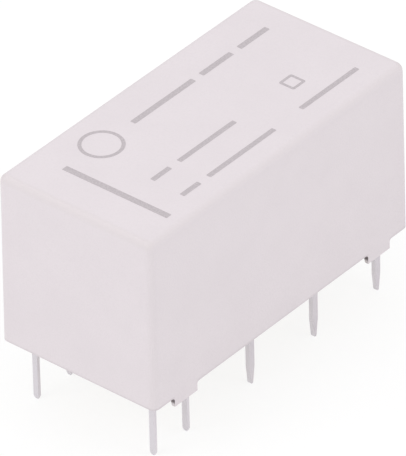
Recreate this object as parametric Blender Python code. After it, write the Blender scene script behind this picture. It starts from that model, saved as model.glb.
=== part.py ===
# Miniature two-pole latching relay in a sealed plastic case, with ten pins on a 2.54 mm grid.
# X runs along the case, Y across it and Z up. The pin tips stand on Z = 0, under the middle of the case.
import math

import bmesh
import bpy
from mathutils import Matrix, Vector

mm = 0.001

# Pins: two rows, whose end pins are seven pitches apart
pin_pitch = 2.54 * mm
row_spacing = 7.62 * mm
pin_reach = 3.3 * mm
pin_thickness = 0.25 * mm
contact_pin_width = 0.4 * mm
contact_pin_tip_width = 0.16 * mm
contact_taper_length = 1.1 * mm
contact_tip_chamfer = 0.07 * mm
coil_pin_width = 0.2 * mm
coil_pin_depth = 0.32 * mm
coil_taper_length = 0.18 * mm
coil_tip_share = 0.55

# Case
end_margin = 1.21 * mm
side_margin = 1.19 * mm
cover_wall = 0.5 * mm
cover_roof = 0.55 * mm
corner_radius = 0.36 * mm
top_corner_radius = 0.14 * mm
inner_corner_radius = 0.2 * mm
end_draft = 0.09 * mm
side_draft = 0.07 * mm
end_edge_radius = 0.25 * mm
side_edge_radius = 0.42 * mm
foot_height = 0.55 * mm
foot_length = 1.75 * mm
foot_inset = 1.55 * mm
foot_fillet = 0.15 * mm
foot_root_thickness = 0.36 * mm
foot_tip_thickness = 0.2 * mm

# Clearances
fit_gap = 0.04 * mm
terminal_gap = 0.03 * mm
pole_gap = 0.02 * mm
contact_gap = 0.02 * mm
blade_clearance = 0.1 * mm
post_clearance = 0.15 * mm

# Base and sealing resin
resin_recess = 0.1 * mm
resin_thickness = 0.32 * mm
meniscus_width = 0.35 * mm
meniscus_height = 0.06 * mm
floor_thickness = 1.0 * mm
tray_wall_height = 1.5 * mm
post_depth = 0.9 * mm
rib_height = 2.6 * mm
lead_width = 0.55 * mm
neck_width = 0.5 * mm

# Coil block
core_width = 2.6 * mm
core_thickness = 1.2 * mm
core_bend_radius = 0.6 * mm
barrel_wall = 0.4 * mm
coil_height = 4.2 * mm
flange_thickness = 0.5 * mm
flange_lip = 0.12 * mm
winding_crown = 0.04 * mm
lead_notch_depth = 0.35 * mm
peg_radius = 0.2 * mm
peg_length = 0.6 * mm
peg_spacing = 3.2 * mm
magnet_thickness = 1.25 * mm
magnet_ear_width = 0.55 * mm
magnet_ear_height = 0.7 * mm
wire_radius = 0.045 * mm
wrap_turns = 3
wrap_pitch = 0.16 * mm

# Armature, its carrier and the swing of both
swing = math.radians(3.4)
armature_thickness = 0.9 * mm
armature_chamfer = 0.18 * mm
armature_waist_width = 2.4 * mm
armature_end_clearance = 0.65 * mm
armature_end_length = 1.7 * mm
pole_overhang = 0.1 * mm
pole_rise = 0.1 * mm
pivot_radius = 0.15 * mm
headroom = 0.58 * mm
carrier_roof = 0.67 * mm
carrier_half_length = 1.5 * mm
carrier_hub_wall = 0.5 * mm
carrier_arm_height = 1.05 * mm
carrier_drop = 0.45 * mm
carrier_window_width = 1.2 * mm
carrier_edge_radius = 0.12 * mm

# Contacts and moving springs
spring_thickness = 0.1 * mm
spring_width = 1.0 * mm
spring_side_gap = 0.18 * mm
spring_slot_width = 0.2 * mm
spring_slot_length = 2.6 * mm
spring_end = 0.45 * mm
hinge_width = 0.6 * mm
hinge_overlap = 0.2 * mm
contact_radius = 0.17 * mm
contact_dome = 0.15 * mm
contact_tip_radius = 0.035 * mm
fixed_contact_length = 0.5 * mm
fixed_contact_height = 0.2 * mm
pad_half_width = 0.6 * mm
pad_bend_radius = 0.3 * mm

arc_steps = 5
ring_steps = 12

# Heights that follow from the values above
z_rim = pin_reach + foot_height
z_resin_bottom = z_rim + resin_recess
z_resin_top = z_resin_bottom + resin_thickness
z_base_bottom = z_resin_top + terminal_gap
z_floor = z_base_bottom + floor_thickness
z_tray_top = z_floor + tray_wall_height
z_lead_top = z_floor - terminal_gap
z_lead_bottom = z_lead_top - pin_thickness
z_shoulder = z_floor + 2 * terminal_gap

# Lengths and widths that follow
end_pin_x = 3.5 * pin_pitch
break_pin_x = 1.5 * pin_pitch
common_pin_x = -0.5 * pin_pitch
inner_coil_pin_x = -2.5 * pin_pitch
contact_x = 3 * pin_pitch
row_y = row_spacing / 2
half_length = end_pin_x + end_margin
half_width = row_y + side_margin
inner_half_length = half_length - cover_wall
inner_half_width = half_width - cover_wall
blade_inner_y = row_y - pin_thickness / 2
blade_outer_y = row_y + pin_thickness / 2
spring_outer_y = blade_inner_y - spring_side_gap
spring_inner_y = spring_outer_y - spring_width
spring_middle_y = (spring_outer_y + spring_inner_y) / 2
post_outer_y = blade_inner_y - terminal_gap
post_inner_y = post_outer_y - post_depth
flange_half_width = post_inner_y - post_clearance
winding_half_width = flange_half_width - flange_lip
armature_half_length = inner_half_length - armature_end_clearance
pole_outer_x = armature_half_length - pole_overhang
pole_inner_x = pole_outer_x - core_thickness
flange_outer_x = pole_inner_x - fit_gap
flange_inner_x = flange_outer_x - flange_thickness
peg_x = (flange_outer_x + flange_inner_x) / 2

# Coil block, swinging parts and ceiling, from the floor up
z_flange_bottom = z_floor + fit_gap
z_flange_top = z_flange_bottom + coil_height
z_coil = (z_flange_top + z_flange_bottom) / 2
barrel_half_width = core_width / 2 + barrel_wall
barrel_half_height = core_thickness / 2 + barrel_wall
winding_depth = winding_half_width - barrel_half_width
z_magnet_bottom = z_flange_top + terminal_gap
z_magnet_top = z_magnet_bottom + magnet_thickness
z_pivot = z_magnet_top + pole_gap + pivot_radius
z_pole = z_magnet_top + pole_rise
z_armature_bottom = z_pole + pole_outer_x * math.sin(swing / 2) + pole_gap
z_armature_top = z_armature_bottom + armature_thickness
z_carrier_bottom = z_armature_bottom - carrier_drop
z_carrier_top = z_armature_top + carrier_roof
z_ceiling = z_carrier_top + headroom
z_top = z_ceiling + cover_roof

# Contact heights, level with the pivot when the armature is level
z_spring_bottom = z_pivot - spring_thickness / 2
z_spring_top = z_pivot + spring_thickness / 2
z_fixed_contact = (
    z_pivot
    - (spring_thickness / 2 + contact_dome) * math.cos(swing / 2)
    - (contact_x + contact_radius) * math.sin(swing / 2)
    - contact_gap
)
z_pad_top = z_fixed_contact - fixed_contact_height
z_pad_bottom = z_pad_top - pin_thickness
z_wrap_bottom = z_coil + wire_radius
z_coil_post_top = z_wrap_bottom + (wrap_turns + 1) * wrap_pitch

coil_pins_x = (-end_pin_x, inner_coil_pin_x)
contact_pins_x = (common_pin_x, break_pin_x, end_pin_x)


def clear_scene():
    for item in list(bpy.data.objects):
        bpy.data.objects.remove(item, do_unlink=True)


def make_material(name, colour, roughness, metallic=0.0):
    """One Principled surface, with its colour given in linear values."""
    material = bpy.data.materials.new(name)
    material.use_nodes = True
    shader = material.node_tree.nodes["Principled BSDF"]
    shader.inputs["Base Color"].default_value = (*colour, 1.0)
    shader.inputs["Roughness"].default_value = roughness
    shader.inputs["Metallic"].default_value = metallic
    return material


def add_object(name, data, material=None):
    item = bpy.data.objects.new(name, data)
    bpy.context.scene.collection.objects.link(item)
    if material:
        data.materials.append(material)
    return item


def finish_mesh(name, bm):
    bmesh.ops.recalc_face_normals(bm, faces=bm.faces)
    mesh = bpy.data.meshes.new(name)
    bm.to_mesh(mesh)
    bm.free()
    return mesh


def arc_points(centre, radius, start, end):
    """Points on an arc in a plane, both ends included."""
    points = []
    for i in range(arc_steps + 1):
        angle = start + (end - start) * i / arc_steps
        points.append((centre[0] + radius * math.cos(angle), centre[1] + radius * math.sin(angle)))
    return points


def rounded(corners):
    """Outline through (u, v, radius) corners, each corner turned by an arc of its radius."""
    outline = []
    count = len(corners)
    for i, (u, v, radius) in enumerate(corners):
        if radius <= 0:
            outline.append((u, v))
            continue
        here = Vector((u, v))
        back = (Vector(corners[i - 1][:2]) - here).normalized()
        ahead = (Vector(corners[(i + 1) % count][:2]) - here).normalized()
        half_angle = math.acos(max(-1.0, min(1.0, back.dot(ahead)))) / 2
        centre = here + (back + ahead).normalized() * (radius / math.sin(half_angle))
        start = here + back * (radius / math.tan(half_angle)) - centre
        end = here + ahead * (radius / math.tan(half_angle)) - centre
        turn = math.atan2(start.x * end.y - start.y * end.x, start.dot(end))
        first = math.atan2(start.y, start.x)
        outline.extend(arc_points(centre, radius, first, first + turn))
    return outline


def rectangle(u0, u1, v0, v1, radius=0.0):
    return rounded([(u0, v0, radius), (u1, v0, radius), (u1, v1, radius), (u0, v1, radius)])


def mirror_u(corners):
    """The same corners on the other side of the middle, in the order that goes on from them."""
    return [(-corner[0], *corner[1:]) for corner in reversed(corners)]


def prism(name, outline, axis, low, high, material=None):
    """An outline extruded along one axis; it lies in the plane of the other two, in X, Y, Z order."""
    place = {
        "X": lambda u, v, w: (w, u, v),
        "Y": lambda u, v, w: (u, w, v),
        "Z": lambda u, v, w: (u, v, w),
    }[axis]
    bm = bmesh.new()
    face = bm.faces.new([bm.verts.new(place(u, v, low)) for u, v in outline])
    moved = bmesh.ops.extrude_face_region(bm, geom=[face])["geom"]
    shift = Vector(place(0, 0, high)) - Vector(place(0, 0, low))
    bmesh.ops.translate(bm, verts=[v for v in moved if isinstance(v, bmesh.types.BMVert)], vec=shift)
    return add_object(name, finish_mesh(name, bm), material)


def loft(name, rings, material=None, closed=False):
    """Rings of equally many points, bridged in turn; the ends are capped, or joined if closed."""
    bm = bmesh.new()
    loops = [[bm.verts.new(point) for point in ring] for ring in rings]
    count = len(loops[0])
    pairs = list(zip(loops, loops[1:]))
    if closed:
        pairs.append((loops[-1], loops[0]))
    else:
        bm.faces.new(loops[0])
        bm.faces.new(loops[-1])
    for low, high in pairs:
        for i in range(count):
            j = (i + 1) % count
            bm.faces.new((low[i], low[j], high[j], high[i]))
    return add_object(name, finish_mesh(name, bm), material)


def combine(item, tool, operation):
    """Exact Boolean of one object with another, kept in the first; the second is used up."""
    modifier = item.modifiers.new("combine", "BOOLEAN")
    modifier.operation = operation
    modifier.solver = "EXACT"
    modifier.object = tool
    evaluated = item.evaluated_get(bpy.context.evaluated_depsgraph_get())
    old_mesh = item.data
    item.data = bpy.data.meshes.new_from_object(evaluated)
    item.modifiers.clear()
    bpy.data.meshes.remove(old_mesh)
    bpy.data.objects.remove(tool, do_unlink=True)
    return item


def smooth_rounds(item, angle=math.radians(35)):
    item.data.shade_smooth()
    item.data.set_sharp_from_angle(angle=angle)
    return item


def case_ring(half_x, half_y, radius, z):
    return [(x, y, z) for x, y in rectangle(-half_x, half_x, -half_y, half_y, radius)]


def round_ring(x, y, radius, z):
    turn = 2 * math.pi / ring_steps
    return [
        (x + radius * math.cos(i * turn), y + radius * math.sin(i * turn), z)
        for i in range(ring_steps)
    ]


def rim_notch_outline():
    """Side view of what is cut from below the rim: all but the feet, with fillets beside them."""
    foot_out = half_length - foot_inset
    foot_in = foot_out - foot_length
    beyond = 2 * half_length
    column_end = pin_reach - foot_height
    bottom = column_end - foot_height
    right = [
        (beyond, bottom, 0),
        (beyond, z_rim, 0),
        (foot_out, z_rim, foot_fillet),
        (foot_out, column_end, 0),
        (foot_in, column_end, 0),
        (foot_in, z_rim, foot_fillet),
    ]
    return rounded(right + mirror_u(right))


def foot_slope_outline(side):
    """End view of what is cut from the inner side of the feet, which get thinner downward."""
    taper = foot_root_thickness - foot_tip_thickness
    below = pin_reach - foot_height
    outline = [
        (half_width - foot_root_thickness, z_rim),
        (half_width - foot_tip_thickness + taper, below),
        (row_y, below),
        (row_y, z_rim),
    ]
    return [(side * y, z) for y, z in outline]


def build_cover(material):
    """A deep box open below, its walls a little closer at the top, with four stand-off feet."""
    top_length = half_length - end_draft
    top_width = half_width - side_draft
    rings = [
        case_ring(inner_half_length, inner_half_width, inner_corner_radius, z_ceiling),
        case_ring(inner_half_length, inner_half_width, inner_corner_radius, pin_reach),
        case_ring(half_length, half_width, corner_radius, pin_reach),
    ]
    for i in range(arc_steps + 1):
        angle = math.pi / 2 * i / arc_steps
        inset = 1 - math.cos(angle)
        half_x = top_length - end_edge_radius * inset
        half_y = top_width - side_edge_radius * inset
        radius = corner_radius + (top_corner_radius - corner_radius) * inset
        z = z_top - side_edge_radius * (1 - math.sin(angle))
        rings.append(case_ring(half_x, half_y, radius, z))
    cover = loft("cover", rings, material)
    notch = prism("notch", rim_notch_outline(), "Y", -2 * half_width, 2 * half_width)
    combine(cover, notch, "DIFFERENCE")
    for side in (-1, 1):
        wedge = prism("wedge", foot_slope_outline(side), "X", -half_length, half_length)
        combine(cover, wedge, "DIFFERENCE")
    return smooth_rounds(cover)


def contact_pin_outline(x):
    """A contact pin in side view, from the top of its left edge down round its tip and up again."""
    tip = contact_pin_tip_width / 2
    right = [
        (x + tip - contact_tip_chamfer / 2, 0),
        (x + tip, contact_tip_chamfer),
        (x + contact_pin_width / 2, contact_taper_length),
    ]
    return [(2 * x - u, z) for u, z in reversed(right)] + right


def blade(name, outline, side, material=None):
    """A flat plate that stands in a pin row."""
    return prism(name, outline, "Y", side * blade_inner_y, side * blade_outer_y, material)


def pad_profile(side):
    """End view of a blade that stands in the pin row and bends inward into a contact pad."""
    pad_inner_y = spring_inner_y - terminal_gap
    outline = rounded(
        [
            (blade_outer_y, -pin_reach, 0),
            (blade_outer_y, z_pad_top, pad_bend_radius),
            (pad_inner_y, z_pad_top, 0),
            (pad_inner_y, z_pad_bottom, 0),
            (blade_inner_y, z_pad_bottom, 0),
            (blade_inner_y, -pin_reach, 0),
        ]
    )
    return [(side * y, z) for y, z in outline]


def bent_blade(name, outline, side, material=None):
    """A plate with the given side view, bent inward at its top into a contact pad."""
    plate = prism(name, outline, "Y", 0, side * half_width, material)
    profile = prism("profile", pad_profile(side), "X", -half_length, half_length)
    return combine(plate, profile, "INTERSECT")


def build_make_terminal(name, side, material):
    """Pin 8 or 9: a plate beside the end pin, with its pad near the +X end."""
    pin_half = contact_pin_width / 2
    step = z_tray_top + post_clearance
    outline = contact_pin_outline(end_pin_x) + [
        (end_pin_x + pin_half, step),
        (contact_x + pad_half_width, step + pin_half),
        (contact_x + pad_half_width, z_ceiling),
        (contact_x - pad_half_width, z_ceiling),
        (contact_x - pad_half_width, z_shoulder),
        (end_pin_x - pin_half, z_shoulder),
    ]
    return bent_blade(name, outline, side, material)


def lead_outline(side, grow=0.0):
    """Plan of the strip that runs in the floor from pin 6 or 11 to the far contact."""
    inner_y = post_inner_y - lead_width / 2 - grow
    outer_y = post_inner_y + lead_width / 2 + grow
    tab_y = blade_outer_y + terminal_gap + grow
    pin_half = contact_pin_width / 2 + 2 * terminal_gap + grow
    neck_half = neck_width / 2 + 2 * terminal_gap + grow
    outline = [
        (break_pin_x + pin_half, inner_y),
        (break_pin_x + pin_half, tab_y),
        (break_pin_x - pin_half, tab_y),
        (break_pin_x - pin_half, outer_y),
        (neck_half - contact_x, outer_y),
        (neck_half - contact_x, tab_y),
        (-neck_half - contact_x, tab_y),
        (-neck_half - contact_x, inner_y),
    ]
    return [(x, side * y) for x, y in outline]


def build_break_terminal(name, side, material):
    """Pin 6 or 11: a pin, a strip in the floor, and a plate with its pad near the -X end."""
    z_joint = (z_lead_top + z_lead_bottom) / 2
    pin_half = contact_pin_width / 2
    neck = neck_width / 2
    pin = contact_pin_outline(break_pin_x)
    pin += [(break_pin_x + pin_half, z_joint), (break_pin_x - pin_half, z_joint)]
    right = [
        (neck, z_joint),
        (neck, z_shoulder),
        (pad_half_width, z_shoulder),
        (pad_half_width, z_ceiling),
    ]
    riser = [(x - contact_x, z) for x, z in right + mirror_u(right)]
    terminal = blade(name, pin, side, material)
    combine(terminal, prism("lead", lead_outline(side), "Z", z_lead_bottom, z_lead_top), "UNION")
    return combine(terminal, bent_blade("riser", riser, side), "UNION")


def build_common_terminal(name, side, material):
    """Pin 4 or 13: a plate that rises beside the coil to the hinge of the moving spring."""
    half = contact_pin_width / 2
    hinge_half = hinge_width / 2 + blade_clearance
    z_end = z_spring_bottom - fit_gap
    outline = contact_pin_outline(common_pin_x) + [
        (common_pin_x + half, z_shoulder),
        (hinge_half, z_shoulder),
        (hinge_half, z_end),
        (-hinge_half, z_end),
        (common_pin_x - half, z_coil),
    ]
    return blade(name, outline, side, material)


def build_coil_terminal(name, x, side, material):
    """A straight post, its tip drawn in on all four sides."""
    y = side * row_y
    rings = []
    for share, z in ((coil_tip_share, 0), (1, coil_taper_length), (1, z_coil_post_top)):
        half_x = share * coil_pin_width / 2
        half_y = share * coil_pin_depth / 2
        outline = rectangle(x - half_x, x + half_x, y - half_y, y + half_y)
        rings.append([(u, v, z) for u, v in outline])
    return loft(name, rings, material)


def cut_pin_holes(item, low, high):
    """Rectangular holes through a plate, each round one pin."""
    pins = [(x, coil_pin_width, coil_pin_depth) for x in coil_pins_x]
    pins += [(x, contact_pin_width, pin_thickness) for x in contact_pins_x]
    for side in (-1, 1):
        for x, width, thickness in pins:
            half_x = width / 2 + terminal_gap
            half_y = thickness / 2 + terminal_gap
            y = side * row_y
            hole = rectangle(x - half_x, x + half_x, y - half_y, y + half_y)
            combine(item, prism("hole", hole, "Z", low, high), "DIFFERENCE")


def bobbin_pegs(radius, low, high):
    """The four short pegs below the bobbin's flanges, or the holes for them."""
    pegs = []
    for x in (-peg_x, peg_x):
        for y in (-peg_spacing / 2, peg_spacing / 2):
            circle = [(u, v) for u, v, _ in round_ring(x, y, radius, low)]
            pegs.append(prism("peg", circle, "Z", low, high))
    return pegs


def build_resin(material):
    """The sealing compound poured round the pins; it creeps up the wall a little all round."""
    half_x = inner_half_length - fit_gap
    half_y = inner_half_width - fit_gap
    rings = [case_ring(half_x, half_y, inner_corner_radius, z_resin_top)]
    for i in range(arc_steps + 1):
        angle = math.pi / 2 * i / arc_steps
        inset = meniscus_width * (1 - math.cos(angle))
        z = z_resin_bottom - meniscus_height * (1 - math.sin(angle))
        rings.append(case_ring(half_x - inset, half_y - inset, inner_corner_radius, z))
    resin = loft("sealing_resin", rings, material)
    cut_pin_holes(resin, z_rim - fit_gap, z_resin_top + fit_gap)
    return resin


def build_base(material):
    """A tray whose floor holds the pins, with posts below the pads and ribs beside pins 4 and 13."""
    outer_x = inner_half_length - fit_gap
    outer_y = inner_half_width - fit_gap
    inner_x = end_pin_x + contact_pin_width / 2 + blade_clearance
    inner_y = blade_outer_y + blade_clearance
    rings = [
        case_ring(inner_x, inner_y, inner_corner_radius / 2, z_floor),
        case_ring(inner_x, inner_y, inner_corner_radius / 2, z_tray_top),
        case_ring(outer_x, outer_y, inner_corner_radius, z_tray_top),
        case_ring(outer_x, outer_y, inner_corner_radius, z_base_bottom),
    ]
    base = loft("base", rings, material)
    root = z_floor - floor_thickness / 2
    post_half = pad_half_width - post_clearance / 2
    rib_end = hinge_width / 2
    for side in (-1, 1):
        inner = side * post_inner_y
        outer = side * post_outer_y
        for x in (-contact_x, contact_x):
            post = rectangle(x - post_half, x + post_half, inner, outer)
            z_post_top = z_pad_bottom - terminal_gap
            combine(base, prism("post", post, "Z", root, z_post_top), "UNION")
        rib = rectangle(common_pin_x, rib_end, inner, outer)
        combine(base, prism("rib", rib, "Z", root, z_floor + rib_height), "UNION")
        groove = lead_outline(side, terminal_gap)
        groove_bottom = z_lead_bottom - terminal_gap
        combine(base, prism("groove", groove, "Z", groove_bottom, z_floor + terminal_gap), "DIFFERENCE")
    cut_pin_holes(base, z_base_bottom - fit_gap, z_floor + fit_gap)
    z_peg_end = z_flange_bottom - peg_length - fit_gap
    for hole in bobbin_pegs(peg_radius + terminal_gap, z_peg_end, z_floor + fit_gap):
        combine(base, hole, "DIFFERENCE")
    return base


def build_core(material):
    """A soft-iron strip folded into a U: a bar through the coil and two poles turned up."""
    low = z_coil - core_thickness / 2
    high = z_coil + core_thickness / 2
    right = [
        (pole_outer_x, low, core_bend_radius),
        (pole_outer_x, z_pole, 0),
        (pole_inner_x, z_pole, 0),
        (pole_inner_x, high, 0),
    ]
    outline = rounded(right + mirror_u(right))
    return prism("core", outline, "Y", -core_width / 2, core_width / 2, material)


def build_bobbin(material):
    """A barrel moulded over the core, with a flange at each end and ears that locate the magnet."""
    barrel = rectangle(
        -barrel_half_width,
        barrel_half_width,
        z_coil - barrel_half_height,
        z_coil + barrel_half_height,
        barrel_wall / 2,
    )
    middle = (flange_outer_x + flange_inner_x) / 2
    bobbin = prism("bobbin", barrel, "X", -middle, middle, material)
    ear_inner = core_width / 2 + fit_gap
    ear_outer = ear_inner + magnet_ear_width
    ear_top = z_flange_top + magnet_ear_height
    right = [
        (flange_half_width, z_flange_bottom, 0),
        (flange_half_width, z_flange_top, flange_lip),
        (ear_outer, z_flange_top, 0),
        (ear_outer, ear_top, flange_lip),
        (ear_inner, ear_top, flange_lip),
        (ear_inner, z_flange_top, 0),
    ]
    flange = rounded(right + mirror_u(right))
    for end in (-1, 1):
        plate = prism("flange", flange, "X", end * flange_inner_x, end * flange_outer_x)
        combine(bobbin, plate, "UNION")
    for peg in bobbin_pegs(peg_radius, z_flange_bottom - peg_length, z_flange_bottom + peg_radius):
        combine(bobbin, peg, "UNION")
    notch_low = z_coil - lead_notch_depth / 2
    notch_high = z_coil + lead_notch_depth / 2
    for side in (-1, 1):
        notch_bottom = side * (flange_half_width - lead_notch_depth)
        notch = rectangle(-half_length, 0, notch_bottom, side * half_width)
        combine(bobbin, prism("notch", notch, "Z", notch_low, notch_high), "DIFFERENCE")
    bore = rectangle(
        -core_width / 2 - terminal_gap,
        core_width / 2 + terminal_gap,
        z_coil - core_thickness / 2 - terminal_gap,
        z_coil + core_thickness / 2 + terminal_gap,
    )
    return combine(bobbin, prism("bore", bore, "X", -half_length, half_length), "DIFFERENCE")


def build_winding(name, inside, outside, material):
    """A rounded sleeve between two (half width, half height, corner radius) sections."""
    end = flange_inner_x - terminal_gap

    def ring(x, half_y, half_z, radius):
        outline = rectangle(-half_y, half_y, z_coil - half_z, z_coil + half_z, radius)
        return [(x, y, z) for y, z in outline]

    half_y, half_z, radius = outside
    low_side = (half_y - winding_crown, half_z - winding_crown, radius)
    rings = [
        ring(-end, *inside),
        ring(-end, *low_side),
        ring(winding_crown - end, *outside),
        ring(end - winding_crown, *outside),
        ring(end, *low_side),
        ring(end, *inside),
    ]
    return smooth_rounds(loft(name, rings, material, closed=True))


def build_windings(material):
    """The set coil on the barrel and the reset coil wound over it, half the depth each."""

    def section(depth):
        return (barrel_half_width + depth, barrel_half_height + depth, barrel_wall / 2 + depth)

    middle = winding_depth / 2
    build_winding("set_winding", section(terminal_gap), section(middle), material)
    build_winding("reset_winding", section(middle + terminal_gap), section(winding_depth), material)


def build_magnet(material):
    half = pole_inner_x - fit_gap
    outline = rectangle(-half, half, -core_width / 2, core_width / 2)
    return prism("magnet", outline, "Z", z_magnet_bottom, z_magnet_top, material)


def build_armature(material):
    """A soft-iron plate with wide pole ends and a half-round ridge below its middle."""
    profile = [(-armature_half_length, z_armature_bottom), (-pivot_radius, z_armature_bottom)]
    profile += arc_points((0, z_pivot), pivot_radius, -math.pi, 0)
    profile += [
        (pivot_radius, z_armature_bottom),
        (armature_half_length, z_armature_bottom),
        (armature_half_length, z_armature_top - armature_chamfer),
        (armature_half_length - armature_chamfer, z_armature_top),
        (armature_chamfer - armature_half_length, z_armature_top),
        (-armature_half_length, z_armature_top - armature_chamfer),
    ]
    armature = prism("armature", profile, "Y", -half_width, half_width, material)
    waist = armature_waist_width / 2
    wide = core_width / 2 + 2 * terminal_gap
    neck = armature_half_length - armature_end_length
    right = [
        (neck - (wide - waist), -waist),
        (neck, -wide),
        (2 * armature_half_length, -wide),
        (2 * armature_half_length, wide),
        (neck, wide),
        (neck - (wide - waist), waist),
    ]
    plan = prism("plan", right + mirror_u(right), "Z", z_magnet_bottom, z_ceiling)
    return combine(armature, plan, "INTERSECT")


def spring_outline(side, grow=0.0):
    """Plan of a moving spring: forked at both ends, with a hinge arm at its middle."""
    end = contact_x + spring_end + grow
    fork = end - spring_slot_length
    inner = spring_inner_y - grow
    outer = spring_outer_y + grow
    slot_half = spring_slot_width / 2
    arm = hinge_width / 2 + grow
    right = [
        (end, inner),
        (end, spring_middle_y - slot_half),
        (fork, spring_middle_y - slot_half),
        (fork, spring_middle_y + slot_half),
        (end, spring_middle_y + slot_half),
        (end, outer),
        (arm, outer),
        (arm, blade_outer_y + hinge_overlap + grow),
    ]
    return [(x, side * y) for x, y in right + mirror_u(right)]


def build_spring(name, side, material):
    return prism(name, spring_outline(side), "Z", z_spring_bottom, z_spring_top, material)


def build_carrier(material):
    """The moulding round the armature's middle, with an arm that grips each moving spring."""
    hub = armature_waist_width / 2 + carrier_hub_wall
    arm = spring_outer_y + spring_side_gap / 2
    arm_top = z_carrier_bottom + carrier_arm_height
    saddle = core_width / 2 + blade_clearance
    z_saddle = z_magnet_top + carrier_half_length * math.sin(swing / 2) + 2 * fit_gap
    right = [
        (saddle, z_saddle, 0),
        (saddle, z_carrier_bottom, 0),
        (arm, z_carrier_bottom, 0),
        (arm, arm_top, carrier_edge_radius),
        (hub, arm_top, carrier_edge_radius),
        (hub, z_carrier_top, 2 * carrier_edge_radius),
    ]
    profile = rounded(right + mirror_u(right))
    length = carrier_half_length
    carrier = prism("armature_carrier", profile, "X", -length, length, material)
    waist = armature_waist_width / 2 + terminal_gap
    z_low = z_armature_bottom - terminal_gap
    tunnel = rectangle(-waist, waist, z_low, z_armature_top + terminal_gap)
    combine(carrier, prism("tunnel", tunnel, "X", -2 * length, 2 * length), "DIFFERENCE")
    window_x = carrier_window_width / 2
    window = rectangle(-window_x, window_x, -waist, waist)
    z_middle = (z_armature_bottom + z_armature_top) / 2
    combine(carrier, prism("window", window, "Z", z_magnet_bottom, z_middle), "DIFFERENCE")
    for side in (-1, 1):
        slot = spring_outline(side, terminal_gap)
        low = z_spring_bottom - terminal_gap
        high = z_spring_top + terminal_gap
        combine(carrier, prism("slot", slot, "Z", low, high), "DIFFERENCE")
    return carrier


def build_moving_contact(name, x, y, material):
    """A small dome that faces down below one tine of a spring."""
    top = z_spring_bottom - contact_gap / 2
    height = contact_dome - contact_gap / 2
    rings = [round_ring(x, y, contact_radius, top)]
    for i in range(arc_steps):
        angle = math.pi / 2 * i / arc_steps
        z = top - height * (1 + math.sin(angle)) / 2
        rings.append(round_ring(x, y, contact_radius * math.cos(angle), z))
    rings.append(round_ring(x, y, contact_tip_radius, top - height))
    return smooth_rounds(loft(name, rings, material))


def build_fixed_contact(name, x, side, material):
    """A short bar below both tines, with sloped long edges."""
    half = fixed_contact_length / 2
    low = z_pad_top + contact_gap / 2
    slope = (z_fixed_contact - low) / 2
    right = [(half, low), (half, low + slope), (half - slope, z_fixed_contact)]
    profile = [(x + u, z) for u, z in right + mirror_u(right)]
    return prism(name, profile, "Y", side * spring_inner_y, side * spring_outer_y, material)


def build_lead_wire(name, x, side, material):
    """Wire from the coil to its terminal, which it wraps in a few turns; two pass through the flange."""
    wrap_radius = math.hypot(coil_pin_width, coil_pin_depth) / 2 + wire_radius + pole_gap
    start_x = max(x, flange_thickness - flange_inner_x)
    start_y = side * (winding_half_width + wire_radius + terminal_gap)
    points = [Vector((start_x, start_y, z_coil))]
    if x < -contact_x:
        points.append(Vector((-contact_x - pad_half_width, start_y, z_coil)))
    steps = ring_steps * wrap_turns
    for i in range(steps + 1):
        angle = side * (2 * math.pi * i / ring_steps - math.pi / 2)
        z = z_wrap_bottom + wrap_pitch * i / ring_steps
        across = side * row_y + wrap_radius * math.sin(angle)
        points.append(Vector((x + wrap_radius * math.cos(angle), across, z)))
    curve = bpy.data.curves.new(name, "CURVE")
    curve.dimensions = "3D"
    curve.bevel_depth = wire_radius
    curve.bevel_resolution = 1
    curve.use_fill_caps = True
    spline = curve.splines.new("POLY")
    spline.points.add(len(points) - 1)
    for target, point in zip(spline.points, points):
        target.co = (*point, 1.0)
    return add_object(name, curve, material)


def hang_on_pivot(items):
    """Parent the swinging parts to an empty on the pivot's axis, with the -X end down."""
    pivot = bpy.data.objects.new("armature_pivot", None)
    bpy.context.scene.collection.objects.link(pivot)
    place = Matrix.Translation((0, 0, z_pivot))
    pivot.matrix_world = place @ Matrix.Rotation(-swing / 2, 4, "Y")
    for item in items:
        item.data.transform(place.inverted())
        item.parent = pivot


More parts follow.
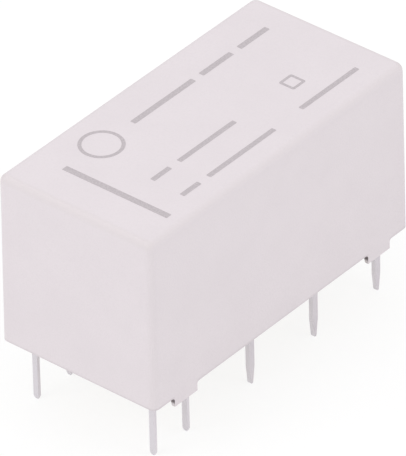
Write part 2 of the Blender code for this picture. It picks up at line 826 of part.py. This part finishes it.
def main():
    clear_scene()
    white_plastic = make_material("white_plastic", (0.80, 0.74, 0.77), 0.42)
    dark_plastic = make_material("dark_plastic", (0.04, 0.04, 0.05), 0.5)
    tan_plastic = make_material("tan_plastic", (0.62, 0.50, 0.34), 0.5)
    resin = make_material("resin", (0.30, 0.27, 0.22), 0.35)
    iron = make_material("iron", (0.55, 0.55, 0.56), 0.35, 1.0)
    ferrite = make_material("ferrite", (0.08, 0.08, 0.09), 0.55)
    enamelled_copper = make_material("enamelled_copper", (0.55, 0.20, 0.07), 0.35, 1.0)
    tinned_brass = make_material("tinned_brass", (0.66, 0.63, 0.65), 0.35, 1.0)
    spring_bronze = make_material("spring_bronze", (0.72, 0.52, 0.28), 0.3, 1.0)
    gold = make_material("gold", (0.85, 0.62, 0.25), 0.25, 1.0)

    build_cover(white_plastic)
    build_resin(resin)
    build_base(dark_plastic)
    build_core(iron)
    build_bobbin(tan_plastic)
    build_windings(enamelled_copper)
    build_magnet(ferrite)

    end_coil, inner_coil = coil_pins_x
    coil_pins = (("1", end_coil, -1), ("2", inner_coil, -1), ("15", inner_coil, 1), ("16", end_coil, 1))
    for number, x, side in coil_pins:
        build_coil_terminal("coil_terminal_" + number, x, side, tinned_brass)
        build_lead_wire("lead_wire_" + number, x, side, enamelled_copper)
    for common, broken, made, side in (("4", "6", "8", -1), ("13", "11", "9", 1)):
        build_common_terminal("contact_terminal_" + common, side, tinned_brass)
        build_break_terminal("contact_terminal_" + broken, side, tinned_brass)
        build_make_terminal("contact_terminal_" + made, side, tinned_brass)
        build_fixed_contact("fixed_contact_" + broken, -contact_x, side, gold)
        build_fixed_contact("fixed_contact_" + made, contact_x, side, gold)

    swinging = [build_armature(iron), build_carrier(dark_plastic)]
    tine_offset = (spring_width + spring_slot_width) / 4
    for side_word, side in (("left", -1), ("right", 1)):
        swinging.append(build_spring("moving_spring_" + side_word, side, spring_bronze))
        for end_word, x in (("break", -contact_x), ("make", contact_x)):
            for tine_word, offset in (("inner", -tine_offset), ("outer", tine_offset)):
                name = "_".join(("contact", side_word, end_word, tine_word))
                y = side * (spring_middle_y + offset)
                swinging.append(build_moving_contact(name, x, y, gold))
    hang_on_pivot(swinging)


main()
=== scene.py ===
import math

import bmesh
import bpy
from mathutils import Matrix, Vector


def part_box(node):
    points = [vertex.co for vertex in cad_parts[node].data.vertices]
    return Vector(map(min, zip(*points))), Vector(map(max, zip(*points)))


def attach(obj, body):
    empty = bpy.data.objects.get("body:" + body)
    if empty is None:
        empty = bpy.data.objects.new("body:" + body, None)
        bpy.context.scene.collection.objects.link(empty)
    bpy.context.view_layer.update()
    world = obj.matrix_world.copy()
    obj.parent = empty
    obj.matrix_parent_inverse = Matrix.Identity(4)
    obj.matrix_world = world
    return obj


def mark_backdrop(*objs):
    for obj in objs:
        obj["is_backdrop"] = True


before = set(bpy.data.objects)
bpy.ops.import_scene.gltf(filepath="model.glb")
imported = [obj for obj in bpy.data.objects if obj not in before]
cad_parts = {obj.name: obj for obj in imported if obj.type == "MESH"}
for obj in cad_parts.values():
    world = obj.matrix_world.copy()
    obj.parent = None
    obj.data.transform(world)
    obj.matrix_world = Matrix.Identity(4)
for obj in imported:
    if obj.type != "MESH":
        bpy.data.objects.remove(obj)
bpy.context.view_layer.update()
millimetre = 0.001
noiseSpan = (0.3, 0.7)  # nearly all of a noise lies in here
white = (1, 1, 1, 1)


# Small helpers for node trees

def tone(red, green, blue):  # a screen's colour, 0 to 255, turned into the shader's linear values
    def linear(value):
        value = value / 255
        return value / 12.92 if value <= 0.04045 else ((value + 0.055) / 1.055) ** 2.4
    return (linear(red), linear(green), linear(blue), 1.0)


def addNode(tree, kind, sockets=None, **settings):
    made = tree.nodes.new(kind)
    for name, value in settings.items():
        setattr(made, name, value)
    for name, value in (sockets or {}).items():
        if isinstance(value, bpy.types.NodeSocket):
            tree.links.new(value, made.inputs[name])
        else:
            made.inputs[name].default_value = value
    return made


def newSurface(name, fixed):  # a material and its shader, with the values that are even all over
    material = bpy.data.materials.new(name)
    material.use_nodes = True
    tree = material.node_tree
    shader = tree.nodes["Principled BSDF"]
    for socket, value in fixed.items():
        shader.inputs[socket].default_value = value
    return material, tree, shader


def here(tree):  # where the point lies on the relay, in metres
    return addNode(tree, "ShaderNodeTexCoord").outputs["Object"]


def facing(tree):  # which way the surface faces on the relay
    return addNode(tree, "ShaderNodeTexCoord").outputs["Normal"]


def split(tree, vector):  # its three parts, X, Y and Z
    return addNode(tree, "ShaderNodeSeparateXYZ", {0: vector}).outputs


def speckle(tree, size, detail=2.0, stretch=(1, 1, 1), roughness=0.5):  # noise with blots of this size
    scale = tuple(share / size for share in stretch)
    spot = addNode(tree, "ShaderNodeMapping", {"Vector": here(tree), "Scale": scale})
    sockets = {"Vector": spot.outputs["Vector"], "Scale": 1.0, "Detail": detail, "Roughness": roughness}
    return addNode(tree, "ShaderNodeTexNoise", sockets).outputs["Fac"]


def reckon(tree, operation, first, second=0.0, clamp=False):
    made = addNode(tree, "ShaderNodeMath", {0: first, 1: second}, operation=operation, use_clamp=clamp)
    return made.outputs[0]


def between(tree, value, low, high, newLow=0.0, newHigh=1.0):
    sockets = {"Value": value, "From Min": low, "From Max": high, "To Min": newLow, "To Max": newHigh}
    return addNode(tree, "ShaderNodeMapRange", sockets).outputs["Result"]


def mixTones(tree, share, first, second):
    made = addNode(tree, "ShaderNodeMix", {0: share, 6: first, 7: second}, data_type="RGBA")
    return made.outputs[2]


def raised(tree, height, depth, under=None):  # bump of this depth in metres
    sockets = {"Height": height, "Distance": depth, "Strength": 1.0}
    if under:
        sockets["Normal"] = under
    return addNode(tree, "ShaderNodeBump", sockets).outputs["Normal"]


def finishSurface(tree, shader, colour, roughness, normal):
    tree.links.new(colour, shader.inputs["Base Color"])
    tree.links.new(roughness, shader.inputs["Roughness"])
    tree.links.new(normal, shader.inputs["Normal"])


def seenByEye(tree):  # 1 for what the camera sees, also in a reflection or through glass
    path = addNode(tree, "ShaderNodeLightPath").outputs
    seen = reckon(tree, "MAXIMUM", path["Is Camera Ray"], path["Is Glossy Ray"])
    return reckon(tree, "MAXIMUM", seen, path["Is Transmission Ray"])


# Small helpers for meshes and places

def bridge(bm, first, second):  # a band of faces between two rings with the same number of points
    for i in range(len(first)):
        j = (i + 1) % len(first)
        bm.faces.new((first[i], first[j], second[j], second[i]))


def newPiece(name, bm, material):
    mesh = bpy.data.meshes.new(name)
    bm.to_mesh(mesh)
    bm.free()
    mesh.materials.append(material)
    piece = bpy.data.objects.new(name, mesh)
    bpy.context.scene.collection.objects.link(piece)
    return piece


def softBar(x0, x1, y0, y1, radius, steps=4):  # rectangle with small round corners
    corners = ((x1 - radius, y1 - radius, 0), (x0 + radius, y1 - radius, 90),
               (x0 + radius, y0 + radius, 180), (x1 - radius, y0 + radius, 270))
    points = []
    for x, y, start in corners:
        for i in range(steps + 1):
            angle = math.radians(start + 90 * i / steps)
            points.append((x + radius * math.cos(angle), y + radius * math.sin(angle)))
    return points


def circle(x, y, radius, steps=64):
    turn = 2 * math.pi / steps
    return [(x + radius * math.cos(i * turn), y + radius * math.sin(i * turn)) for i in range(steps)]


def awayFromRelay(turn, rise):  # direction in degrees round the relay, from the pin 1 side, and upwards
    turn, rise = math.radians(turn), math.radians(rise)
    level = math.cos(rise)
    return Vector((math.sin(turn) * level, -math.cos(turn) * level, math.sin(rise)))


# White moulded case

caseLook = {
    "colour": tone(232, 224, 228),
    "cloud": tone(230, 222, 226),  # faint clouding of the pigment
    "cloudSize": 2.6 * millimetre,
    "pit": tone(223, 215, 219),  # low spots of the moulding's grain
    "pitShare": 0.26,
    "grain": 0.09 * millimetre,
    "grainDepth": 0.008 * millimetre,
    "wave": 3.2 * millimetre,
    "waveDepth": 0.010 * millimetre,
    "roughness": (0.5, 0.6),
    "blot": 0.9 * millimetre,  # size of the blots in the roughness and in the painted shade above the rim
    "edge": tone(224, 216, 218),  # painted shade along the rounded edges, where they catch the most light
    "edgeReach": 0.5 * millimetre,
    "uprightShare": 0.35,  # the upright edges get the least painted shade
    "endShare": 1.5,  # and the end edges most
    "rim": tone(214, 206, 210),  # painted shade in a strip just above the rim
    "rimHeight": 3.85 * millimetre,
    "rimReach": 0.15 * millimetre,
    "footMiddle": 7.675 * millimetre,  # how far along the case the feet lie
    "footReach": (0.8 * millimetre, 1.0 * millimetre),  # from a foot's middle, where the strip begins
    "footShadeTone": tone(116, 108, 110),  # painted shade on a foot's end face, just below the corner with the rim
    "shadeBegins": (-0.09 * millimetre, -0.18 * millimetre),  # heights over the rim, from none to all
    "shadeEnds": (-0.42 * millimetre, -0.28 * millimetre),  # the same for its lower end
    "footEnd": tone(232, 226, 229),  # lower down that face, where the painted shade has faded
    "shoulderShadeTone": tone(229, 221, 225),  # a soft band of painted shade on the long sides, just below the top edge's rounding
    "shoulderBegins": (0.2 * millimetre, 0.32 * millimetre),  # depths below the top, from none to all
    "shoulderEnds": (0.66 * millimetre, 0.44 * millimetre),  # the same for its lower side
}


def edgeWear(tree, spot, high, look):  # at an edge the point is near two faces of the box at once
    near = []
    for axis in range(3):
        distance = reckon(tree, "SUBTRACT", float(high[axis]), reckon(tree, "ABSOLUTE", spot[axis]))
        near.append(between(tree, distance, look["edgeReach"], 0.0))
    upright = reckon(tree, "MULTIPLY", reckon(tree, "MULTIPLY", near[0], near[1]), look["uprightShare"])
    side = reckon(tree, "MULTIPLY", near[1], near[2])
    end = reckon(tree, "MULTIPLY", reckon(tree, "MULTIPLY", near[0], near[2]), look["endShare"])
    return reckon(tree, "ADD", reckon(tree, "ADD", upright, side), end, clamp=True)


def rimWear(tree, spot, above, look):  # painted shade in a strip above the rim; stops short of the feet
    shadeStrip = between(tree, reckon(tree, "ABSOLUTE", above), look["rimReach"], 0.0)
    blots = between(tree, speckle(tree, look["blot"]), *noiseSpan, 0.6, 1.0)
    shadeStrip = reckon(tree, "MULTIPLY", shadeStrip, blots)
    footwise = reckon(tree, "SUBTRACT", reckon(tree, "ABSOLUTE", spot[0]), look["footMiddle"])
    footwise = reckon(tree, "ABSOLUTE", footwise)
    return reckon(tree, "MULTIPLY", shadeStrip, between(tree, footwise, *look["footReach"]))


# painted shade in a band on the long sides
def paintedShoulderShade(tree, spot, turned, high, look):
    down = reckon(tree, "SUBTRACT", float(high[2]), spot[2])
    begins = between(tree, down, *look["shoulderBegins"])
    ends = between(tree, down, *look["shoulderEnds"])
    sideways = between(tree, reckon(tree, "ABSOLUTE", turned[1]), 0.6, 0.95)
    return reckon(tree, "MULTIPLY", reckon(tree, "MULTIPLY", begins, ends), sideways)


def footEnds(tree, above, turned, look):  # where a foot's end face is, and the painted shade on it
    below = between(tree, above, *look["shadeBegins"])
    endwise = between(tree, reckon(tree, "ABSOLUTE", turned[0]), 0.2, 0.7)
    shadeFade = between(tree, above, *look["shadeEnds"])
    footTone = mixTones(tree, shadeFade, look["footEnd"], look["footShadeTone"])
    return reckon(tree, "MULTIPLY", below, endwise), footTone


def whiteMoulding(look):
    material, tree, shader = newSurface("whiteMoulding", {"IOR": 1.5})
    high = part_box("cover")[1]
    spot = split(tree, here(tree))
    turned = split(tree, facing(tree))
    above = reckon(tree, "SUBTRACT", spot[2], look["rimHeight"])
    clouds = between(tree, speckle(tree, look["cloudSize"], detail=3.0), 0.35, 0.65)
    colour = mixTones(tree, clouds, look["colour"], look["cloud"])
    grain = speckle(tree, look["grain"])
    pits = between(tree, grain, 0.56, 0.34, 0.0, look["pitShare"])
    colour = mixTones(tree, pits, colour, look["pit"])
    # painted shade along the rounded edges
    colour = mixTones(tree, edgeWear(tree, spot, high, look), colour, look["edge"])
    # painted shade in a strip just above the rim
    colour = mixTones(tree, rimWear(tree, spot, above, look), colour, look["rim"])
    # painted shade in a band on the long sides
    colour = mixTones(tree, paintedShoulderShade(tree, spot, turned, high, look), colour, look["shoulderShadeTone"])
    # painted shade on the feet's end faces, darkest just below the rim
    footShare, footTone = footEnds(tree, above, turned, look)
    colour = mixTones(tree, footShare, colour, footTone)
    roughness = between(tree, speckle(tree, look["blot"], detail=4.0), *noiseSpan, *look["roughness"])
    wave = raised(tree, speckle(tree, look["wave"], detail=1.0), look["waveDepth"])
    normal = raised(tree, grain, look["grainDepth"], wave)
    finishSurface(tree, shader, colour, roughness, normal)
    return material


# Other mouldings: black base and carrier, tan bobbin

mouldingLooks = {
    "blackMoulding": {
        "colour": tone(30, 30, 32), "fleck": tone(52, 52, 54), "roughness": (0.42, 0.58),
    },
    "tanMoulding": {
        "colour": tone(201, 180, 140), "fleck": tone(222, 206, 172), "roughness": (0.4, 0.55),
    },
}

fibreLook = {
    "width": 0.05 * millimetre,
    "stretch": (0.25, 1, 1),  # they are four times as long, along X
    "cloud": 1.4 * millimetre,  # there are more of them in some places
    "blot": 0.3 * millimetre,
    "pit": 0.06 * millimetre,
    "pitDepth": 0.0016 * millimetre,
}


def fibreMoulding(name, look, fibre):  # short glass fibres show in the skin as pale flecks along the flow
    material, tree, shader = newSurface(name, {"IOR": 1.55})
    flecks = between(tree, speckle(tree, fibre["width"], stretch=fibre["stretch"]), 0.6, 0.72)
    clouds = speckle(tree, fibre["cloud"], detail=3.0)
    colour = mixTones(tree, reckon(tree, "MULTIPLY", flecks, clouds), look["colour"], look["fleck"])
    roughness = between(tree, speckle(tree, fibre["blot"], detail=3.0), *noiseSpan, *look["roughness"])
    normal = raised(tree, speckle(tree, fibre["pit"]), fibre["pitDepth"])
    finishSurface(tree, shader, colour, roughness, normal)
    return material


# Poured resin

resinLook = {
    "colour": tone(206, 192, 164),
    "deep": tone(194, 179, 149),
    "ripple": 1.1 * millimetre,
    "rippleDepth": 0.012 * millimetre,
    "bubble": tone(172, 157, 128),
    "bubbleSpacing": 0.22 * millimetre,
    "bubblePatch": 0.8 * millimetre,  # they show in a few patches of about this size
    "bubbleDip": 0.3,  # as a share of the ripples' depth
    "roughness": (0.14, 0.3),
    "blot": 0.5 * millimetre,
}


def curedResin(look):
    material, tree, shader = newSurface("curedResin", {"IOR": 1.55})
    flow = speckle(tree, look["ripple"], roughness=0.6)
    colour = mixTones(tree, between(tree, flow, 0.35, 0.65), look["colour"], look["deep"])
    sockets = {"Vector": here(tree), "Scale": 1 / look["bubbleSpacing"]}
    cells = addNode(tree, "ShaderNodeTexVoronoi", sockets)
    bubbles = between(tree, cells.outputs["Distance"], 0.16, 0.05)
    patches = between(tree, speckle(tree, look["bubblePatch"], detail=1.0), 0.55, 0.62)
    bubbles = reckon(tree, "MULTIPLY", bubbles, patches)
    colour = mixTones(tree, bubbles, colour, look["bubble"])
    roughness = between(tree, speckle(tree, look["blot"], detail=3.0), *noiseSpan, *look["roughness"])
    height = reckon(tree, "SUBTRACT", flow, reckon(tree, "MULTIPLY", bubbles, look["bubbleDip"]))
    finishSurface(tree, shader, colour, roughness, raised(tree, height, look["rippleDepth"]))
    return material


# Metals

metalLooks = {
    "tinnedPost": {
        "colour": tone(228, 223, 228), "shade": tone(220, 215, 221), "endFaceShading": tone(221, 217, 222),
        "roughness": (0.34, 0.46), "metallic": 0.55,
        "streak": (7, 7, 1), "size": 0.4 * millimetre, "depth": 0.0016 * millimetre,
    },
    "tinnedBlade": {
        "colour": tone(219, 213, 218), "shade": tone(209, 203, 209), "endFaceShading": tone(228, 224, 229),
        "roughness": (0.32, 0.44), "metallic": 0.6,
        "streak": (7, 7, 1), "size": 0.4 * millimetre, "depth": 0.0016 * millimetre,
    },
    "nickelIron": {
        "colour": tone(192, 190, 187), "shade": tone(178, 176, 173),
        "roughness": (0.28, 0.4), "metallic": 1.0,
        "streak": (1, 9, 9), "size": 0.5 * millimetre, "depth": 0.0006 * millimetre,
    },
    "springBronze": {
        "colour": tone(212, 174, 120), "shade": tone(200, 159, 104),
        "roughness": (0.22, 0.34), "metallic": 1.0,
        "streak": (1, 12, 12), "size": 0.5 * millimetre, "depth": 0.0003 * millimetre,
    },
    "goldCladding": {
        "colour": tone(238, 202, 122), "shade": tone(229, 188, 106),
        "roughness": (0.16, 0.28), "metallic": 1.0,
        "streak": (1, 1, 1), "size": 0.08 * millimetre, "depth": 0.0003 * millimetre,
    },
    "groundMagnet": {
        "colour": tone(84, 84, 88), "shade": tone(58, 58, 62),
        "roughness": (0.38, 0.6), "metallic": 0.35,
        "streak": (1, 10, 3), "size": 0.6 * millimetre, "depth": 0.002 * millimetre,
    },
}

stripLook = {
    "stain": 1.7 * millimetre,  # faint clouds over the streaks
    "endShadingBlot": 0.3 * millimetre,  # blots in the painted tone on a pin's faces towards the case's ends
    "endShadingRun": (1, 1, 0.3),  # drawn out along the pin
}


def drawnMetal(name, look, strip):  # the streaks run the way that the strip was rolled or ground
    material, tree, shader = newSurface(name, {"Metallic": look["metallic"]})
    streaks = speckle(tree, look["size"], detail=3.0, stretch=look["streak"], roughness=0.6)
    stains = speckle(tree, strip["stain"], detail=3.0)
    share = between(tree, reckon(tree, "ADD", streaks, stains), 0.75, 1.25)
    colour = mixTones(tree, share, look["colour"], look["shade"])
    roughness = between(tree, streaks, *noiseSpan, *look["roughness"])
    finishSurface(tree, shader, colour, roughness, raised(tree, streaks, look["depth"]))
    return material


def tinnedMetal(name, look, strip):  # dip-tinned; faces towards the case's ends have their own tone: painted shade on the posts, painted light on the blades
    material = drawnMetal(name, look, strip)
    tree = material.node_tree
    shader = tree.nodes["Principled BSDF"]
    turned = split(tree, facing(tree))
    # painted light and shade by which way a face turns, broken into blots
    endwise = between(tree, reckon(tree, "ABSOLUTE", turned[0]), 0.5, 0.9)
    blots = speckle(tree, strip["endShadingBlot"], detail=3.0, stretch=strip["endShadingRun"])
    share = reckon(tree, "MULTIPLY", endwise, between(tree, blots, *noiseSpan, 0.7, 1.0))
    colourBefore = shader.inputs["Base Color"].links[0].from_socket
    tree.links.new(mixTones(tree, share, colourBefore, look["endFaceShading"]), shader.inputs["Base Color"])
    return material


# Enamelled copper: turns on the windings, plain lacquer on the leads

copperLooks = {
    "setWire": {
        "colour": tone(196, 110, 62), "grooveShadeAndStain": tone(112, 52, 26),
        "pitch": 0.1 * millimetre, "depth": 0.02 * millimetre,
    },
    "resetWire": {
        "colour": tone(206, 128, 70), "grooveShadeAndStain": tone(124, 64, 32),
        "pitch": 0.1 * millimetre, "depth": 0.02 * millimetre,
    },
    "leadWire": {
        "colour": tone(200, 118, 66), "grooveShadeAndStain": tone(150, 84, 46),
        "pitch": 0.0, "depth": 0.001 * millimetre,  # one wire, with no turns side by side
    },
}

enamelLook = {
    "metallic": 0.9,
    "coat": 0.5,
    "coatRoughness": 0.15,
    "roughness": (0.22, 0.36),
    "stain": 0.7 * millimetre,
    "wander": 0.12 * millimetre,  # how far the turns stray from their straight lines
    "wanderSize": 1.6 * millimetre,
    "skin": 0.12 * millimetre,  # unevenness of the lacquer on a lead
}


def enamelledWire(name, look, enamel):
    fixed = {
        "Metallic": enamel["metallic"],
        "Coat Weight": enamel["coat"],
        "Coat Roughness": enamel["coatRoughness"],
    }
    material, tree, shader = newSurface(name, fixed)
    stains = speckle(tree, enamel["stain"], detail=3.0)
    if look["pitch"]:
        wander = speckle(tree, enamel["wanderSize"], detail=1.0)
        wander = reckon(tree, "MULTIPLY", wander, enamel["wander"])
        along = reckon(tree, "ADD", split(tree, here(tree))[0], wander)
        turn = reckon(tree, "SINE", reckon(tree, "MULTIPLY", along, 2 * math.pi / look["pitch"]))
        crest = between(tree, turn, -1.0, 0.4)
        height = reckon(tree, "SQRT", crest)
    else:
        crest = between(tree, speckle(tree, enamel["skin"]), *noiseSpan)
        height = crest
    # painted shade in the grooves between turns; on a lead, the lacquer's uneven skin; stains take the
    # same darker tone
    colour = mixTones(tree, crest, look["grooveShadeAndStain"], look["colour"])
    colour = mixTones(tree, between(tree, stains, 0.5, 0.8, 0.0, 0.4), colour, look["grooveShadeAndStain"])
    roughness = between(tree, stains, *noiseSpan, *enamel["roughness"])
    finishSurface(tree, shader, colour, roughness, raised(tree, height, look["depth"]))
    return material


# Dressing the solids

everyNode = sorted(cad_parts)


def dress(material, *names):
    for name in names:
        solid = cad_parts[name]
        if not solid.material_slots:
            solid.data.materials.append(None)
        for place in solid.material_slots:
            place.link = "OBJECT"
            place.material = material


def named(*starts):  # every node whose name starts with one of these
    return [name for name in everyNode if name.startswith(starts)]


whitePlastic = whiteMoulding(caseLook)
resin = curedResin(resinLook)
plastics = {name: fibreMoulding(name, look, fibreLook) for name, look in mouldingLooks.items()}
metals = {}
for name, look in metalLooks.items():
    make = tinnedMetal if "endFaceShading" in look else drawnMetal
    metals[name] = make(name, look, stripLook)
wires = {name: enamelledWire(name, look, enamelLook) for name, look in copperLooks.items()}

dress(whitePlastic, "cover")
dress(resin, "sealing_resin")
dress(plastics["blackMoulding"], "base", "armature_carrier")
dress(plastics["tanMoulding"], "bobbin")
dress(metals["nickelIron"], "core", "armature")
dress(metals["groundMagnet"], "magnet")
dress(wires["setWire"], "set_winding")
dress(wires["resetWire"], "reset_winding")
dress(wires["leadWire"], *named("lead_wire"))
dress(metals["springBronze"], *named("moving_spring"))
dress(metals["tinnedPost"], *named("coil_terminal"))
dress(metals["tinnedBlade"], *named("contact_terminal"))
dress(metals["goldCladding"], *named("contact_left", "contact_right", "fixed_contact"))
print("dressed", len(everyNode), "solids")


# Printed marks on the top: plain bars, a ring and a square

printLook = {
    "colour": tone(186, 178, 182),
    "pale": tone(207, 199, 203),
    "mottle": 0.08 * millimetre,
    "mottleDepth": 0.001 * millimetre,
    "pinhole": tone(226, 218, 222),  # where the ink missed and the case shows
    "pinholeSize": 0.05 * millimetre,
    "pinholeShare": 0.6,
    "roughness": (0.5, 0.62),
    "thickness": 0.006 * millimetre,
    # the places and sizes below are in millimetres
    "bars": [  # start x, end x, y across, width, with the long way along X
        (-2.45, 2.3, 2.52, 0.34), (2.9, 5.3, 2.52, 0.34), (5.9, 8.15, 2.52, 0.34),
        (-5.65, -4.3, -1.42, 0.3), (-3.6, 0.75, -1.42, 0.3),
        (-5.75, -4.4, -3.39, 0.3), (-3.7, 1.45, -3.39, 0.3),
        (3.65, 8.15, -3.3, 0.3),
    ],
    "barCorner": 0.05,
    "endBar": (-7.52, 0.38, -4.04, 2.68),  # x, width, from y, to y
    "endBarCorner": 0.04,
    "ring": (-4.85, 2.53, 1.2, 0.2),  # x, y, radius, line
    "square": (5.2, -1.5, 0.5, 0.16),  # x, y, half side, line
    "squareCorners": (0.12, 0.05),  # outside and inside
}


def printedInk(look):
    material, tree, shader = newSurface("printedInk", {"IOR": 1.5})
    mottle = between(tree, speckle(tree, look["mottle"], detail=3.0), 0.36, 0.74)
    colour = mixTones(tree, mottle, look["colour"], look["pale"])
    missed = speckle(tree, look["pinholeSize"], detail=1.0)
    missed = between(tree, missed, 0.7, 0.76, 0.0, look["pinholeShare"])
    colour = mixTones(tree, missed, colour, look["pinhole"])
    roughness = between(tree, mottle, 0.0, 1.0, *look["roughness"])
    finishSurface(tree, shader, colour, roughness, raised(tree, mottle, look["mottleDepth"]))
    return material


def printMark(name, outlines, look, material):  # flat ink on the top face; an inner outline leaves a hole
    top = float(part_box("cover")[1][2])
    bm = bmesh.new()
    levels = []
    for z in (top - look["thickness"], top + look["thickness"]):
        levels.append([[bm.verts.new((x * millimetre, y * millimetre, z)) for x, y in line]
                       for line in outlines])
    for lower, upper in zip(*levels):
        bridge(bm, lower, upper)
    for level in levels:
        if len(level) == 1:
            bm.faces.new(level[0])
        else:
            bridge(bm, *level)
    bmesh.ops.recalc_face_normals(bm, faces=bm.faces)
    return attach(newPiece(name, bm, material), "case")


def printTop(look):
    ink = printedInk(look)
    for number, (x0, x1, y, width) in enumerate(look["bars"], 1):
        outline = softBar(x0, x1, y - width / 2, y + width / 2, look["barCorner"])
        printMark("printed_bar_%d" % number, [outline], look, ink)
    x, width, y0, y1 = look["endBar"]
    outline = softBar(x - width / 2, x + width / 2, y0, y1, look["endBarCorner"])
    printMark("printed_end_bar", [outline], look, ink)
    x, y, radius, line = look["ring"]
    printMark("printed_ring", [circle(x, y, radius), circle(x, y, radius - line)], look, ink)
    x, y, half, line = look["square"]
    outlines = []
    for reach, corner in zip((half, half - line), look["squareCorners"]):
        outlines.append(softBar(x - reach, x + reach, y - reach, y + reach, corner))
    printMark("printed_square", outlines, look, ink)


printTop(printLook)
print("printed the top")


# Resin drawn up round each pin

collarLook = {  # in millimetres
    "climb": 0.1,  # how far the resin creeps down a pin
    "spread": 0.2,
    "gap": 0.004,
    "level": 0.06,  # the resin's edge hangs this much below the rest of its face
    "roundness": 0.9,  # the skirt's corner radius, as a share of its distance from the pin
    # how far out and how far down, as shares of spread and climb; minus is up, inside the resin
    "profile": [
        (0.0, 1.0), (0.06, 0.62), (0.16, 0.33), (0.36, 0.12), (0.64, 0.03), (1.0, -0.03),
        (1.0, -0.12), (0.0, -0.12),
    ],
}


def resinCollars(look, material):  # one piece: a small skirt of resin round every pin
    face = float(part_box("sealing_resin")[0][2]) / millimetre + look["level"]
    bm = bmesh.new()
    for name in named("coil_terminal", "contact_terminal"):
        corners = [vertex.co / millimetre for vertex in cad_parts[name].data.vertices]
        shank = [corner for corner in corners if corner.z < face]
        x0, x1 = min(p.x for p in shank), max(p.x for p in shank)
        y0, y1 = min(p.y for p in shank), max(p.y for p in shank)
        rings = []
        for out, down in look["profile"]:
            away = look["gap"] + out * look["spread"]
            line = softBar(x0 - away, x1 + away, y0 - away, y1 + away, away * look["roundness"])
            z = (face - down * look["climb"]) * millimetre
            rings.append([bm.verts.new((x * millimetre, y * millimetre, z)) for x, y in line])
        for first, second in zip(rings, rings[1:] + rings[:1]):
            bridge(bm, first, second)
    bmesh.ops.recalc_face_normals(bm, faces=bm.faces)
    piece = newPiece("resin_collars", bm, material)
    piece.data.shade_smooth()
    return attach(piece, "case")


resinCollars(collarLook, resin)
print("drew the resin up round the pins")


# Floor

floorLook = {
    "size": 1.2,
    "colour": (0.84, 0.84, 0.84, 1),
    "seenColour": (0.18, 0.18, 0.18, 1),
    "glow": 0.84,  # only for the eye, so that the paper reads white and still holds the shadow
}


def whitePaper(look):
    material = bpy.data.materials.new("floorPaper")
    material.use_nodes = True
    tree = material.node_tree
    tree.nodes.clear()
    paper = addNode(tree, "ShaderNodeBsdfDiffuse", {"Color": look["colour"]})
    faint = addNode(tree, "ShaderNodeBsdfDiffuse", {"Color": look["seenColour"]})
    glow = addNode(tree, "ShaderNodeEmission", {"Color": white, "Strength": look["glow"]})
    bright = addNode(tree, "ShaderNodeAddShader", {0: faint.outputs[0], 1: glow.outputs[0]})
    sockets = {0: seenByEye(tree), 1: paper.outputs[0], 2: bright.outputs[0]}
    upperSide = addNode(tree, "ShaderNodeMixShader", sockets)
    behind = addNode(tree, "ShaderNodeNewGeometry").outputs["Backfacing"]
    clear = addNode(tree, "ShaderNodeBsdfTransparent")  # its underside lets light and looks through
    sockets = {0: behind, 1: upperSide.outputs[0], 2: clear.outputs[0]}
    bothSides = addNode(tree, "ShaderNodeMixShader", sockets)
    addNode(tree, "ShaderNodeOutputMaterial", {"Surface": bothSides.outputs[0]})
    return material


def buildFloor(look):
    bm = bmesh.new()
    half = look["size"] / 2
    corners = ((-half, -half, 0), (half, -half, 0), (half, half, 0), (-half, half, 0))
    bm.faces.new([bm.verts.new(corner) for corner in corners])
    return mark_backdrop(newPiece("floor", bm, whitePaper(look)))


buildFloor(floorLook)


# Light

lightLook = {
    "sky": 0.83,
    "aim": (0, 0, 0.008),
    # name, place round the relay and height in degrees, then distance, size and power
    "panels": [
        ("leftPanel", -112, 38, 0.30, 0.16, 0.17),
        ("frontPanel", 14, 32, 0.34, 0.20, 0.145),
    ],
}


def buildSky(look):
    world = bpy.data.worlds.new("studio")
    bpy.context.scene.world = world
    world.use_nodes = True
    tree = world.node_tree
    tree.nodes.clear()
    sky = addNode(tree, "ShaderNodeBackground", {"Color": white, "Strength": look["sky"]})
    backdrop = addNode(tree, "ShaderNodeBackground", {"Color": white, "Strength": 1.0})
    sockets = {0: seenByEye(tree), 1: sky.outputs[0], 2: backdrop.outputs[0]}
    mixed = addNode(tree, "ShaderNodeMixShader", sockets)
    addNode(tree, "ShaderNodeOutputWorld", {"Surface": mixed.outputs[0]})


def buildPanels(look):
    for name, turn, rise, distance, size, power in look["panels"]:
        lamp = bpy.data.lights.new(name, "AREA")
        lamp.shape = "DISK"
        lamp.size = size
        lamp.energy = power
        panel = bpy.data.objects.new(name, lamp)
        bpy.context.scene.collection.objects.link(panel)
        away = awayFromRelay(turn, rise)
        panel.location = Vector(look["aim"]) + away * distance
        panel.rotation_euler = away.to_track_quat("Z", "Y").to_euler()


buildSky(lightLook)
buildPanels(lightLook)


# Camera

cameraLook = {
    "aim": (0, 0, 0.00785),
    "turn": -49.745,  # degrees round the relay from the middle of the pin 1 side
    "rise": 35.532,
    "roll": -1.288,
    "distance": 0.42209,
    "lens": 663.73,
    "sensor": 36,
    "shift": (-0.005064, -0.023897),
    "clip": (0.01, 10),
}


def buildCamera(look):
    data = bpy.data.cameras.new("camera")
    data.sensor_width = look["sensor"]
    data.lens = look["lens"]
    data.shift_x, data.shift_y = look["shift"]
    data.clip_start, data.clip_end = look["clip"]
    camera = bpy.data.objects.new("camera", data)
    bpy.context.scene.collection.objects.link(camera)
    back = awayFromRelay(look["turn"], look["rise"])
    right = Vector((0, 0, 1)).cross(back).normalized()
    up = back.cross(right)
    roll = math.radians(look["roll"])
    rightRolled = right * math.cos(roll) + up * math.sin(roll)
    upRolled = up * math.cos(roll) - right * math.sin(roll)
    turned = Matrix((rightRolled, upRolled, back)).transposed().to_4x4()
    camera.matrix_world = Matrix.Translation(Vector(look["aim"]) + back * look["distance"]) @ turned
    bpy.context.scene.camera = camera


buildCamera(cameraLook)
bpy.context.scene.view_settings.view_transform = "Standard"
print("set the floor, the light and the camera")
